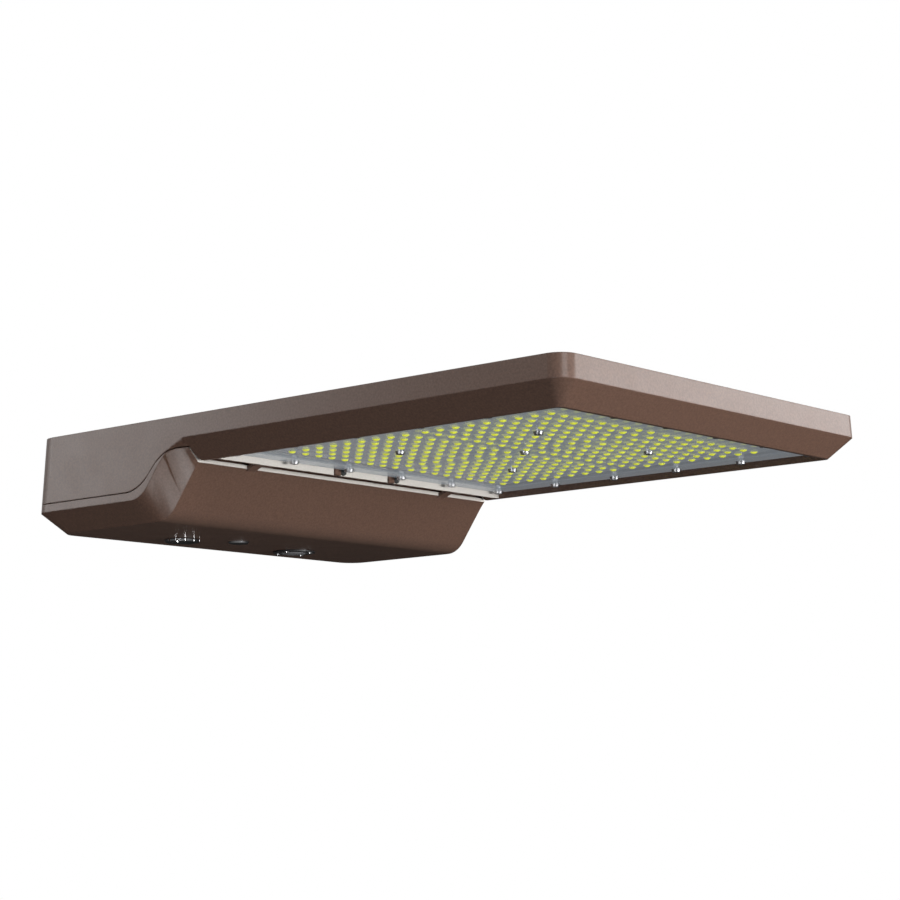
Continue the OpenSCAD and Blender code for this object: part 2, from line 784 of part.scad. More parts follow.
module terminal_block() {
    mid = (terminal_y[0] + terminal_y[1]) / 2;
    color([0.92, 0.92, 0.9]) placed() difference() {
        block_body(terminal_y, terminal_h);
        for (i = [0 : ways - 1]) {
            y = mid + (i - (ways - 1) / 2) * way_pitch;
            block([block_x[0] - 1, block_x[0] + way_w], [y - way_w / 2, y + way_w / 2],
                  [block_top - terminal_h + 3, block_top - terminal_h + 3 + way_h]);
        }
    }
}

module block_screws() {
    color(steel) placed() for (y = block_boss_y)
        translate([block_mid, y, 0]) fixing(block_top - 2 * seat - ear_t, block_top + fixing_in);
}

module ground_screw() {
    color([0.1, 0.5, 0.2]) placed() translate([ground_x, ground_y, 0])
        fixing(-roof_t - seat, -roof_t + fixing_in - 0.5);
}

// ---- Door ----

door_floor = floor_z + wall;
socket_x = 52.5;
socket_thread_d = cap_d - 2;
socket_flange_t = 1.2;
socket_screw_in = 3;
socket_screw_d = 2.5;
socket_turn = 21;
socket_screw_at = [for (i = [0 : 3])
                   [socket_x + (socket_d / 2 - socket_screw_in) * cos(socket_turn + i * 90),
                    socket_y + (socket_d / 2 - socket_screw_in) * sin(socket_turn + i * 90)]];
vent_x = 73;
vent_thread_d = 12;
vent_head_h = 1.3;
latch_boss_d = 22;
latch_boss_h = 4;
bush_d = latch_shaft_d + 4;
rib_t = 2;
rib_side = body_w / 2 - 25;
rib_at = [-rib_side, -latch_y - 39, -vent_y - 22, socket_y + 43, rib_side];
rib_back = rear_x + chamfer + wall;
cross_rib_x = floor_start - 30;
lip_root = 20;           // how far behind the bulkhead the lip's full thickness starts

module door_ribs() {
    for (y = rib_at)
        block([rib_back, floor_start], [y - rib_t / 2, y + rib_t / 2], [door_floor - 1, door_floor + rib_h]);
    block([cross_rib_x, cross_rib_x + rib_t], [-rib_side, rib_side], [door_floor - 1, door_floor + rib_h]);
}

// Each arm grows out of the lip and ends in an eye on the hinge axis
module hinge_arms() {
    foot_x = lip_end - 5;
    at_hinge(0) eye(0, arm_w);
    for (y = arm_at) run_y(y - arm_w / 2, y + arm_w / 2) polygon([
        [foot_x, rim_z + 0.8], [foot_x + 0.6, rim_z - 3.4], [foot_x + 5, rim_z - 2.2],
        [hinge_x + eye_r * 0.8, -hinge_depth - eye_r * 0.6],
        [hinge_x + eye_r * 0.6, -hinge_depth + eye_r * 0.8],
        [hinge_x - eye_r, -hinge_depth + eye_r * 0.2],
        [hinge_x - eye_r, rim_z + 1.6]]);
}

// A round hole through the door's floor
module floor_hole(x, y, d) {
    translate([x, y, floor_z - 1]) cylinder(d = d + 2 * run, h = wall + latch_boss_h + 2, $fn = 48);
}

module driver_door() {
    color(bronze) placed() difference() {
        union() {
            difference() {
                intersection() {
                    driver_form(0, 0, step_end);
                    under_seam(0, lip_end);
                }
                driver_form(wall, -roof_t, lip_end + 1);
                block([bulkhead_x - lip_root, lip_end + 1], [-recess_y, recess_y],
                      [rim_z + lip_t - 0.5, far / 2]);
            }
            seam_strip(-flange_t, 0, wall - 1, cavity_end - 4);
            door_ribs();
            hinge_arms();
            translate([latch_x, -latch_y, door_floor - 1])
                cylinder(d = latch_boss_d, h = latch_boss_h + 1, $fn = 48);
        }
        at_hinge(0) rotate([90, 0, 0])
            cylinder(d = pin_d + 2 * run, h = arm_w + 2, center = true, $fn = 48);
        floor_hole(latch_x, -latch_y, bush_d);
        floor_hole(vent_x, -vent_y, vent_thread_d);
        floor_hole(socket_x, socket_y, socket_thread_d);
        for (p = socket_screw_at) floor_hole(p[0], p[1], socket_screw_d);
    }
}

pin_head_h = 1.5;
pin_head_d = pin_d + 3;
clip_t = 1;
clip_dy = arm_w / 2 + lug_gap + lug_w + lug_gap;

// The pins are fast in the door's arms and turn in the housing's lugs
module hinge_pins() {
    start = -arm_w / 2 - seat - pin_head_h;
    color(steel) placed() at_hinge(0) rotate([-90, 0, 0]) {
        translate([0, 0, start]) cylinder(d = pin_head_d, h = pin_head_h, $fn = 48);
        translate([0, 0, start]) cylinder(d = pin_d, h = clip_dy + 3 * clip_t - start, $fn = 48);
    }
}

module hinge_clips() {
    color([0.35, 0.35, 0.37]) placed() at_hinge(clip_dy) rotate([-90, 0, 0]) difference() {
        cylinder(d = pin_head_d + 0.6, h = clip_t, $fn = 48);
        translate([0, 0, -1]) cylinder(d = pin_d + 2 * run, h = clip_t + 2, $fn = 48);
        translate([-pin_d / 2 + 0.6, 0, -1]) cube([pin_d - 1.2, pin_d, clip_t + 2]);
    }
}

// ---- Latch ----

bush_lip_t = 0.4;
bush_top = door_floor + latch_boss_h + 1.5;
cam_z = bush_top + hole_clear;
cam_t = 3;
cam_w = 12;
cam_hub_d = 16;
cam_gap = 0.4;
shelf_top = cam_z - cam_gap;
shelf_back = 20;
shelf_end = latch_x - shelf_back;
keeper_t = 2.2;
keeper_w = 28;
keeper_face = rear_x + wall;
keeper_jog = 9;
keeper_leg_x = keeper_face + keeper_jog;
keeper_screw_dy = 9;
keeper_screw_up = 13;
keeper_screw_z = seam_level + seam_gap + keeper_screw_up;
keeper_low = 7;
keeper_edge = 4.5;
keeper_top = keeper_screw_z + keeper_edge;
keeper_in = 3;
knob_top = floor_z - bush_lip_t - 2 * seat;
knob_grips = 12;
grip_d = 3;
bar_h = 0.6;
bar_w = 8;
square_w = latch_shaft_d * 0.66;
stud_d = 5;
nut_h = 4;

module latch_bushing() {
    color([0.2, 0.2, 0.2]) placed() translate([latch_x, -latch_y, 0]) difference() {
        union() {
            translate([0, 0, floor_z - bush_lip_t - seat]) cylinder(d = knob_d - 6, h = bush_lip_t, $fn = 48);
            translate([0, 0, floor_z - bush_lip_t])
                cylinder(d = bush_d, h = bush_top - floor_z + bush_lip_t, $fn = 48);
        }
        translate([0, 0, floor_z - 2 * bush_lip_t])
            cylinder(d = latch_shaft_d + 2 * run, h = bush_top - floor_z + 3 * bush_lip_t, $fn = 48);
    }
}

// A round knob with finger grips round it and a bar across it; its shaft ends in a square and a stud
module latch_knob() {
    grip_r = knob_d / 2 + grip_d * 0.2;
    bar_y = knob_d / 2 - 4;
    color(steel) placed() translate([latch_x, -latch_y, 0]) {
        difference() {
            union() {
                translate([0, 0, knob_top - knob_h])
                    cylinder(d1 = knob_d - 1.6, d2 = knob_d, h = knob_h, $fn = 64);
                translate([0, 0, knob_top - knob_h - bar_h])
                    linear_extrude(bar_h + 1) rounded([-bar_w / 2, bar_w / 2], [-bar_y, bar_y], 2);
            }
            for (i = [0 : knob_grips - 1]) rotate([0, 0, i * 360 / knob_grips])
                translate([grip_r, 0, knob_top - knob_h - 1]) cylinder(d = grip_d, h = knob_h + 2, $fn = 24);
        }
        translate([0, 0, knob_top - 0.5])
            cylinder(d = latch_shaft_d, h = cam_z - seat - knob_top + 0.5, $fn = 48);
        translate([-square_w / 2, -square_w / 2, cam_z - 1]) cube([square_w, square_w, cam_t + 1 + seat]);
        translate([0, 0, cam_z + cam_t]) cylinder(d = stud_d, h = nut_h + 1, $fn = 32);
    }
}

// At rest the cam lies along the rear wall; a quarter turn takes it over the keeper's shelf
module latch_cam() {
    hole = square_w + 2 * run;
    color([0.7, 0.7, 0.68]) placed() translate([latch_x, -latch_y, cam_z]) difference() {
        linear_extrude(cam_t) union() {
            circle(d = cam_hub_d, $fn = 48);
            translate([-cam_w / 2, 0]) square([cam_w, cam_reach]);
        }
        translate([-hole / 2, -hole / 2, -1]) cube([hole, hole, cam_t + 2]);
    }
}

module latch_nut() {
    color(steel) placed() translate([latch_x, -latch_y, cam_z + cam_t + 2 * seat]) difference() {
        cylinder(d = stud_d * 1.85, h = nut_h, $fn = 6);
        translate([0, 0, -1]) cylinder(d = stud_d + 2 * run, h = nut_h + 2, $fn = 32);
    }
}

module at_keeper_screws() {
    for (dy = [-keeper_screw_dy, keeper_screw_dy])
        translate([0, -latch_y + dy, keeper_screw_z]) rotate([0, 90, 0]) children();
}

// A strip bent off the rear wall, over the gasket and down to a shelf under the locked cam
module latch_keeper() {
    foot = [keeper_face + seat, keeper_face + seat + keeper_t];
    leg = [keeper_leg_x, keeper_leg_x + keeper_t];
    jog = keeper_screw_z - keeper_low;
    color([0.7, 0.7, 0.68]) placed() difference() {
        run_y(-latch_y - keeper_w / 2, -latch_y + keeper_w / 2) polygon([
            [foot[0], keeper_top], [foot[1], keeper_top],
            [foot[1], jog + keeper_t], [leg[1], jog + keeper_t],
            [leg[1], shelf_top], [shelf_end, shelf_top],
            [shelf_end, shelf_top - keeper_t], [leg[0], shelf_top - keeper_t],
            [leg[0], jog], [foot[0], jog]]);
        at_keeper_screws() screw_hole(keeper_leg_x);
    }
}

// A flat on the leaning rear wall for the keeper's foot
module keeper_pad() {
    block([rear_x, keeper_face], [-latch_y - keeper_w / 2 - 1, -latch_y + keeper_w / 2 + 1],
          [keeper_screw_z - keeper_low, keeper_top + 1]);
}

module keeper_screws() {
    head = keeper_face + 2 * seat + keeper_t;
    color(steel) placed() at_keeper_screws() {
        translate([0, 0, head]) cylinder(d1 = head_d, d2 = head_d * head_taper, h = head_h, $fn = 32);
        translate([0, 0, keeper_face - keeper_in + 0.2])
            cylinder(d = shank_d, h = head - keeper_face + keeper_in - 0.2 + eps, $fn = 24);
    }
}

// ---- Vent plug and sensor socket ----

// A ring nut with flats, seated inside the door's floor
module ring_nut(d, bore, sides) {
    translate([0, 0, door_floor + seat]) difference() {
        cylinder(d = d, h = nut_h, $fn = sides);
        translate([0, 0, -1]) cylinder(d = bore + 2 * run, h = nut_h + 2, $fn = 48);
    }
}

module vent_plug() {
    top = floor_z - seat;
    color(steel) placed() translate([vent_x, -vent_y, 0]) {
        translate([0, 0, top - vent_head_h])
            cylinder(d1 = vent_d - 1.4, d2 = vent_d, h = vent_head_h, $fn = 48);
        translate([0, 0, top - 1]) cylinder(d = vent_thread_d, h = wall + nut_h + 3, $fn = 48);
    }
}

module vent_nut() {
    color([0.2, 0.2, 0.2]) placed() translate([vent_x, -vent_y, 0])
        ring_nut(vent_thread_d + 7, vent_thread_d, 6);
}

module sensor_socket() {
    top = floor_z - seat;
    color(silicone) placed() difference() {
        translate([socket_x, socket_y, top]) {
            translate([0, 0, -socket_flange_t]) cylinder(d = socket_d, h = socket_flange_t, $fn = 64);
            translate([0, 0, -1]) cylinder(d = socket_thread_d, h = wall + nut_h + 7, $fn = 48);
        }
        for (p = socket_screw_at) translate([p[0], p[1], top - socket_flange_t - 1])
            screw_hole(socket_flange_t + 2, socket_screw_d);
    }
}

socket_face = floor_z - socket_flange_t - 2 * seat;
cap_h = 1.2;
socket_head_h = 1;

module socket_cap() {
    r = cap_d / 2;
    color([0.35, 0.35, 0.36]) placed() translate([socket_x, socket_y, socket_face - cap_h])
        rotate_extrude($fn = 64) polygon([[0, 0], [r - 5, 0], [r - 1, 0.6], [r, cap_h], [0, cap_h]]);
}

module socket_screws() {
    head = 1.8 * socket_screw_d;
    color(steel) placed() for (p = socket_screw_at) translate([p[0], p[1], socket_face]) {
        translate([0, 0, -socket_head_h])
            cylinder(d1 = head * head_taper, d2 = head, h = socket_head_h, $fn = 32);
        translate([0, 0, -eps]) cylinder(d = socket_screw_d, h = socket_flange_t + wall, $fn = 24);
    }
}

module socket_nut() {
    color([0.15, 0.15, 0.15]) placed() translate([socket_x, socket_y, 0])
        ring_nut(socket_thread_d + 12, socket_thread_d, 8);
}

housing();
door_gasket();
optic_lens();
optic_gasket();
lens_screws();
module_screws();
led_board_1();
led_board_2();
led_board_3();
led_board_4();
led_chips_1();
led_chips_2();
led_chips_3();
led_chips_4();
board_connectors();
rail_plugs();
board_leads();
supply_leads();
driver_1();
driver_2();
driver_screws();
surge_protector();
terminal_block();
block_screws();
ground_screw();
latch_keeper();
keeper_screws();
driver_door();
hinge_pins();
hinge_clips();
latch_bushing();
vent_plug();
vent_nut();
sensor_socket();
socket_cap();
socket_screws();
socket_nut();
latch_knob();
latch_cam();
latch_nut();
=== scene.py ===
"""Shoebox area light in bronze powder coat: the looks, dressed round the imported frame.

Metres, in the frame's own axes: +X runs from the mounting face to the front end, -Y is the near
side, +Z is up and the lens faces down. The origin is the centre of the mounting bolt pattern.
"""

import json
import math

import bmesh
import bpy
from mathutils import Matrix, Vector


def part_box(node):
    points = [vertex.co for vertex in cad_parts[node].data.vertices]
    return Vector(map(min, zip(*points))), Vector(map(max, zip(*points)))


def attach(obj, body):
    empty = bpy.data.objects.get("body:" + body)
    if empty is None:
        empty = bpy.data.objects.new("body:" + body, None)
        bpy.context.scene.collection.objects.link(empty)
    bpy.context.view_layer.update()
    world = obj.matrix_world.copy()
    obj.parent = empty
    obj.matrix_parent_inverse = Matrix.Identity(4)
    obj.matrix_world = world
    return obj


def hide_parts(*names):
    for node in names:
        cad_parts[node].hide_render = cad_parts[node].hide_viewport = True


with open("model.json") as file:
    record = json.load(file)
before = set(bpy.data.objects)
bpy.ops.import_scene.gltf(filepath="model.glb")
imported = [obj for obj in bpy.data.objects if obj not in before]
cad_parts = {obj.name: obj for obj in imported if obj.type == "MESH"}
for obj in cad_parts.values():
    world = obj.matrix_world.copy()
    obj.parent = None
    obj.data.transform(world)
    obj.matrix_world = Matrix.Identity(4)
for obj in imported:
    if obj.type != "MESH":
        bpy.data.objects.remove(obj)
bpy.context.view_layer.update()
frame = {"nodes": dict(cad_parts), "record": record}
MM = 0.001
WHITE = (1.0, 1.0, 1.0)


def linked(name, data):
    """A new object at the origin, in the scene."""
    made = bpy.data.objects.new(name, data)
    bpy.context.scene.collection.objects.link(made)
    return made


def from_bmesh(bm, name):
    """A new object from a bmesh, which is then freed."""
    mesh = bpy.data.meshes.new(name)
    bm.to_mesh(mesh)
    bm.free()
    return linked(name, mesh)


# ---- Camera and lamps -------------------------------------------------------------------------

CAMERA_AT = (1.35522, -1.25339, -0.24360)
CAMERA_RIGHT = (0.755354, 0.655243, -0.009905)
CAMERA_UP = (0.105844, -0.107071, 0.988601)
CAMERA_LENS = 89.81
CAMERA_REACH = 60.0
SENSOR = 36.0
HALF_PIXEL = 0.5 / 900

# Each lamp: where it stands, where it points, its width and height, and its watts
LAMPS = {
    "key": ((2.27, -0.92, 1.00), (0.3, 0.0, 0.0), (1.0, 0.8), 16.0),
    "front": ((2.4, 0.35, -0.25), (0.4, 0.0, 0.0), (1.2, 0.6), 42.0),
    "front_far": ((1.73, 1.80, 0.42), (0.5, 0.0, 0.0), (1.4, 0.8), 15.0),
    "rear_near": ((-1.25, -1.06, 0.36), (0.10, -0.17, 0.0), (0.7, 0.7), 4.8),
    "near": ((0.3, -1.1, 2.0), (0.25, 0.0, 0.0), (1.6, 0.8), 14.0),
    "top": ((0.0, 1.0, 1.8), (0.25, 0.0, 0.0), (2.0, 1.2), 7.0),
    "low_near": ((0.51, -0.99, -0.81), (0.15, -0.17, -0.02), (0.35, 0.3), 3.4),
}


def make_camera():
    data = bpy.data.cameras.new("camera")
    data.sensor_width = SENSOR
    data.lens = CAMERA_LENS
    data.shift_x, data.shift_y = -HALF_PIXEL, HALF_PIXEL
    data.clip_end = CAMERA_REACH
    right, up = Vector(CAMERA_RIGHT), Vector(CAMERA_UP)
    turn = Matrix((right, up, right.cross(up))).transposed().to_4x4()
    camera = linked("camera", data)
    camera.matrix_world = Matrix.Translation(CAMERA_AT) @ turn
    bpy.context.scene.camera = camera


def make_lamp(name, place, aim, size, watts):
    data = bpy.data.lights.new(name, "AREA")
    data.shape = "RECTANGLE"
    data.size, data.size_y = size
    data.energy = watts
    lamp = linked(name, data)
    lamp.location = place
    lamp.rotation_euler = (Vector(aim) - Vector(place)).to_track_quat("-Z", "Y").to_euler()


# ---- Shader maths -----------------------------------------------------------------------------

# Nearly all of a noise's values lie between the first two; the second two give a crisper grain
NOISE_LOW, NOISE_HIGH = 0.3, 0.7
GRAIN_LOW, GRAIN_HIGH = 0.35, 0.65


class Value:
    """A shader socket that takes part in Python arithmetic by adding Math nodes."""

    def __init__(self, tree, socket):
        self.tree, self.socket = tree, socket

    def math(self, operation, other):
        return self.tree.add("ShaderNodeMath", {"operation": operation}, {0: self, 1: other})

    def __mul__(self, other):
        return self.math("MULTIPLY", other)

    __rmul__ = __mul__


class Finish:
    """One material's node tree: add() makes a node, and surface() ends it in a shader."""

    def __init__(self, name, tree=None):
        if tree is None:
            self.material = bpy.data.materials.new(name)
            self.material.use_nodes = True
            tree = self.material.node_tree
        self.nodes, self.links = tree.nodes, tree.links
        self.nodes.clear()
        self.place = None

    def add(self, kind, settings=None, inputs=None, output=0):
        """A node with its settings made first, then its sockets' values or links."""
        node = self.nodes.new(kind)
        for name, value in (settings or {}).items():
            setattr(node, name, value)
        for name, value in (inputs or {}).items():
            socket = node.inputs[name]
            if isinstance(value, Value):
                self.links.new(value.socket, socket)
            elif value is not None:
                is_colour = hasattr(value, "__len__") and len(value) == 3 and socket.type == "RGBA"
                socket.default_value = (*value, 1.0) if is_colour else value
        return Value(self, node.outputs[output]) if len(node.outputs) else node

    def object_place(self):
        if self.place is None:
            self.place = self.add("ShaderNodeTexCoord", output="Object")
        return self.place

    def noise(self, scale, detail=2.0, roughness=0.5):
        return self.add("ShaderNodeTexNoise", {},
                        {"Vector": self.object_place(), "Scale": scale, "Detail": detail,
                         "Roughness": roughness}, "Fac")

    def between(self, low, high, low_to, high_to, value):
        return self.add("ShaderNodeMapRange", {},
                        {"Value": value, "From Min": low, "From Max": high,
                         "To Min": low_to, "To Max": high_to}, "Result")

    def spread(self, noise, low, high):
        """From low to high over the noise's usual range."""
        return self.between(NOISE_LOW, NOISE_HIGH, low, high, noise)

    def crisp(self, noise):
        """The noise from 0 to 1, with more contrast."""
        return self.between(GRAIN_LOW, GRAIN_HIGH, 0.0, 1.0, noise)

    def blend(self, share, first, second):
        return self.add("ShaderNodeMix", {"data_type": "RGBA"}, {0: share, 6: first, 7: second}, 2)

    def bump(self, height, strength, distance, under=None):
        return self.add("ShaderNodeBump", {},
                        {"Height": height, "Strength": strength, "Distance": distance,
                         "Normal": under}, "Normal")

    def surface(self, **inputs):
        named = {name.replace("_", " "): value for name, value in inputs.items()}
        self.end(self.add("ShaderNodeBsdfPrincipled", {}, named, "BSDF"))
        return self.material

    def end(self, shader):
        self.add("ShaderNodeOutputMaterial", {}, {"Surface": shader})


# ---- Finishes ---------------------------------------------------------------------------------

# Powder coat: the noise scales of its grain, flecks and cloudy patches, its bump and its edges
POWDER_GRAIN = 650.0
POWDER_FLECK = 1.7 * POWDER_GRAIN
POWDER_CLOUD = 60.0
POWDER_BUMP = 0.22
POWDER_DEPTH = 0.2 * MM
EDGE_ROUND = 1.1 * MM
FLECK_FROM, FLECK_FULL, FLECK_SHARE = 0.66, 0.74, 0.3

# Metals and moulded parts: noise scale, bump, tones as shares of the colour, roughness spread
FINE_DEPTH = 0.1 * MM
METAL_SCRATCH = 400.0
METAL_BUMP = 0.05
METAL_DARK = 0.9
MOULD_GRAIN = 700.0
MOULD_BUMP = 0.12
MOULD_DARK, MOULD_PALE = 0.85, 1.1
MOULD_SMOOTHER, MOULD_ROUGHER = 0.05, 0.07

# Lens plate, boards, domes and chips
LENS_CLOUD = 90.0
LENS_ALPHA = 0.42
LENS_INDEX = 1.49
# The plate's glow is a painted reflection
LENS_REFLECTION_GLOW = 1.05
MASK_CLOUD = 40.0
DOME_GRAIN = 420.0
# The domes' glow is painted light
DOME_GLOW = 0.66
PHOSPHOR_GRAIN = 1500.0
# The phosphor's glow is painted light
PHOSPHOR_GLOW = 0.25

# Each metal: its colour, its lowest roughness, and how much rougher its scratches are
METALS = {
    "stainless": ((0.62, 0.62, 0.63), 0.22, 0.10),
    "pale_steel": ((0.66, 0.67, 0.70), 0.30, 0.10),
    "chrome": ((0.80, 0.80, 0.81), 0.06, 0.05),
    "zinc_plate": ((0.55, 0.55, 0.53), 0.35, 0.10),
    "driver_case": ((0.72, 0.73, 0.75), 0.38, 0.10),
    "green_plate": ((0.06, 0.30, 0.12), 0.35, 0.10),
}

# Each moulded matt finish, and the pale painted light of the upright faces: its colour and its
# middle roughness
MOULDED = {
    "rubber": ((0.10, 0.09, 0.085), 0.70),
    "lens_seal": ((0.20, 0.215, 0.235), 0.60),
    "black_plastic": ((0.028, 0.028, 0.030), 0.45),
    "grey_plastic": ((0.25, 0.25, 0.26), 0.40),
    "white_plastic": ((0.80, 0.80, 0.77), 0.45),
    "red_sleeve": ((0.50, 0.04, 0.04), 0.40),
    # Painted light: a pale copy of the bronze for the light that falls on the upright rail and lip
    # faces
    "rail_painted_light": ((0.74, 0.70, 0.65), 0.35),
}

SLOT_FINISH = {
    "bronze_paint": "bronze_powder", "silicone": "rubber", "clear_lens": "clear_lens",
    "screw_steel": "stainless", "chrome": "chrome", "board": "board_mask", "led": "phosphor",
    "connector": "white_plastic", "lead_red": "red_sleeve", "lead_black": "black_plastic",
    "driver_case": "driver_case", "black_plastic": "black_plastic", "grey_plastic": "grey_plastic",
    "white_plastic": "white_plastic", "zinc": "zinc_plate", "ground_green": "green_plate",
}

# Nodes whose finish isn't their slot's usual one
NODE_FINISH = {
    "optic_gasket": "lens_seal", "rail_plugs": "black_plastic",
    "lens_screws": "pale_steel", "module_screws": "pale_steel",
}


def bronze_powder():
    """Semi-gloss bronze powder coat: a fine mottled grain, and cast edges rounded under it."""
    f = Finish("bronze_powder")
    grain = f.noise(POWDER_GRAIN, detail=3.0, roughness=0.6)
    flecks = f.noise(POWDER_FLECK, detail=1.0)
    fleck = f.between(FLECK_FROM, FLECK_FULL, 0.0, FLECK_SHARE, flecks)
    cloud = f.noise(POWDER_CLOUD)
    tone = f.blend(f.crisp(grain), (0.106, 0.059, 0.042), (0.152, 0.085, 0.060))
    rounded = f.add("ShaderNodeBevel", {"samples": 4}, {"Radius": EDGE_ROUND}, "Normal")
    return f.surface(Base_Color=f.blend(fleck, tone, (0.20, 0.135, 0.105)),
                     Roughness=f.spread(cloud, 0.29, 0.33), Specular_IOR_Level=0.5,
                     Normal=f.bump(grain, POWDER_BUMP, POWDER_DEPTH, rounded))


def metal(name, colour, roughness, rougher):
    """Bare or plated metal with fine scratches."""
    f = Finish(name)
    wear = f.noise(METAL_SCRATCH, detail=4.0, roughness=0.6)
    tone = f.blend(wear, tuple(c * METAL_DARK for c in colour), colour)
    return f.surface(Base_Color=tone, Metallic=1.0,
                     Roughness=f.spread(wear, roughness, roughness + rougher),
                     Normal=f.bump(wear, METAL_BUMP, FINE_DEPTH))


def moulded(name, colour, roughness):
    """Moulded plastic or rubber, or the pale painted light of the upright faces, with a fine grain.
    """
    f = Finish(name)
    grain = f.noise(MOULD_GRAIN)
    tone = f.blend(grain, tuple(c * MOULD_DARK for c in colour),
                   tuple(min(1.0, c * MOULD_PALE) for c in colour))
    matt = f.spread(grain, roughness - MOULD_SMOOTHER, roughness + MOULD_ROUGHER)
    return f.surface(Base_Color=tone, Roughness=matt, Normal=f.bump(grain, MOULD_BUMP, FINE_DEPTH))


def clear_lens():
    """Clear moulded plate whose blue-grey tone is a painted reflection: it glows in that tone, for
    what it mirrors at a low angle.
    """
    f = Finish("clear_lens")
    haze_and_reflection = f.noise(LENS_CLOUD)
    tone = f.blend(haze_and_reflection, (0.155, 0.170, 0.185), (0.185, 0.202, 0.220))
    # Painted reflection: the blue-grey tone is the base colour and also glows
    return f.surface(Base_Color=tone, Roughness=f.spread(haze_and_reflection, 0.08, 0.16), Alpha=LENS_ALPHA,
                     IOR=LENS_INDEX, Emission_Color=tone, Emission_Strength=LENS_REFLECTION_GLOW)


def board_mask():
    """Grey solder mask over the boards' copper."""
    f = Finish("board_mask")
    cloud = f.noise(MASK_CLOUD)
    tone = f.blend(cloud, (0.13, 0.14, 0.15), (0.17, 0.18, 0.195))
    return f.surface(Base_Color=tone, Roughness=f.spread(cloud, 0.35, 0.5))


def dome_glow():
    """A clear dome that shows the yellow phosphor right across itself; its glow is painted light on
    the phosphor.
    """
    f = Finish("dome_glow")
    tone = f.blend(f.crisp(f.noise(DOME_GRAIN)), (0.48, 0.51, 0.035), (0.60, 0.63, 0.05))
    # Painted light: the domes glow in their yellow
    return f.surface(Base_Color=tone, Roughness=0.3, Emission_Color=tone,
                     Emission_Strength=DOME_GLOW)


def phosphor():
    """The LEDs' yellow phosphor, with a little painted light: it glows so that it reads through the
    lens.
    """
    f = Finish("phosphor")
    tone = f.blend(f.noise(PHOSPHOR_GRAIN), (0.62, 0.64, 0.05), (0.75, 0.76, 0.08))
    return f.surface(Base_Color=tone, Roughness=0.5, Emission_Color=tone,
                     Emission_Strength=PHOSPHOR_GLOW)


def make_finishes():
    """Every finish of the object, by name."""
    finishes = {make.__name__: make() for make in (bronze_powder, clear_lens, board_mask, phosphor,
                                                   dome_glow)}
    finishes.update({name: metal(name, *look) for name, look in METALS.items()})
    finishes.update({name: moulded(name, *look) for name, look in MOULDED.items()})
    return finishes


# ---- Stage ------------------------------------------------------------------------------------

STUDIO_AMBIENT = 0.04
CEILING_FROM, CEILING_FULL = 0.0, 0.35
FLOOR_AT = (0.25, 0.0, -1.80)
FLOOR_R = 24.0
FLOOR_SIDES = 96
FLOOR_CLOUD = 3.0
FLOOR_GLOW = 0.93


def make_world():
    """White to the camera, through clear parts and in reflections from above, and dim otherwise."""
    world = bpy.data.worlds.new("studio")
    world.use_nodes = True
    bpy.context.scene.world = world
    f = Finish("studio", world.node_tree)
    white, soft = (f.add("ShaderNodeBackground", {}, {"Color": WHITE, "Strength": strength})
                   for strength in (1.0, STUDIO_AMBIENT))
    camera = f.add("ShaderNodeLightPath", output="Is Camera Ray")
    through, mirrored = (Value(f, camera.socket.node.outputs[ray])
                         for ray in ("Is Transmission Ray", "Is Glossy Ray"))
    level = f.add("ShaderNodeSeparateXYZ", {}, {"Vector": f.add("ShaderNodeTexCoord")}, "Z")
    ceiling = f.between(CEILING_FROM, CEILING_FULL, 0.0, 1.0, level)
    seen = camera.math("MAXIMUM", through.math("MAXIMUM", mirrored * ceiling))
    both = f.add("ShaderNodeMixShader", {}, {0: seen, 1: soft, 2: white})
    f.add("ShaderNodeOutputWorld", {}, {"Surface": both})


def make_floor():
    """A pale matt floor that glows to the camera alone, and keeps a faint shadow."""
    bm = bmesh.new()
    bmesh.ops.create_circle(bm, cap_ends=True, segments=FLOOR_SIDES, radius=FLOOR_R)
    bmesh.ops.translate(bm, verts=bm.verts, vec=FLOOR_AT)
    floor = from_bmesh(bm, "floor")
    f = Finish("pale_floor")
    tone = f.blend(f.noise(FLOOR_CLOUD), (0.28, 0.28, 0.28), (0.32, 0.32, 0.32))
    matt = f.add("ShaderNodeBsdfDiffuse", {}, {"Color": tone})
    white = f.add("ShaderNodeEmission", {}, {"Color": WHITE, "Strength": 1.0})
    seen = f.add("ShaderNodeLightPath", output="Is Camera Ray") * FLOOR_GLOW
    f.end(f.add("ShaderNodeMixShader", {}, {0: seen, 1: matt, 2: white}))
    floor.data.materials.append(f.material)


# ---- Castings and cover -----------------------------------------------------------------------

MERGE = 0.001 * MM
LEVEL_ANGLE = math.radians(0.3)
SHARP_ANGLE = math.radians(28.0)
FLAT_WEIGHT = 50

# Upright faces painted pale, painted light for the light that falls on them: where they lie, how
# near a face must be, and how square to X
RAIL_FACE_X = 187.2 * MM
LIP_FACE_X = 168.5 * MM
FACE_REACH = 1.2 * MM
FACE_SQUARE = 0.9

# The level part of the door's rim: it ends before this x, lies at this z, and is lifted by this
SEAM_LEVEL_X = 108.3 * MM
SEAM_LEVEL_Z = -25.6 * MM
SEAM_REACH = 0.05 * MM
SEAM_LIFT = 0.3 * MM

# Lenslet tips lie below this z, inside the cover's raised border, and are cut back to this z
TIP_LEVEL = -1.4 * MM
TIP_LEFT = -0.35 * MM
COVER_BORDER = 9.0 * MM


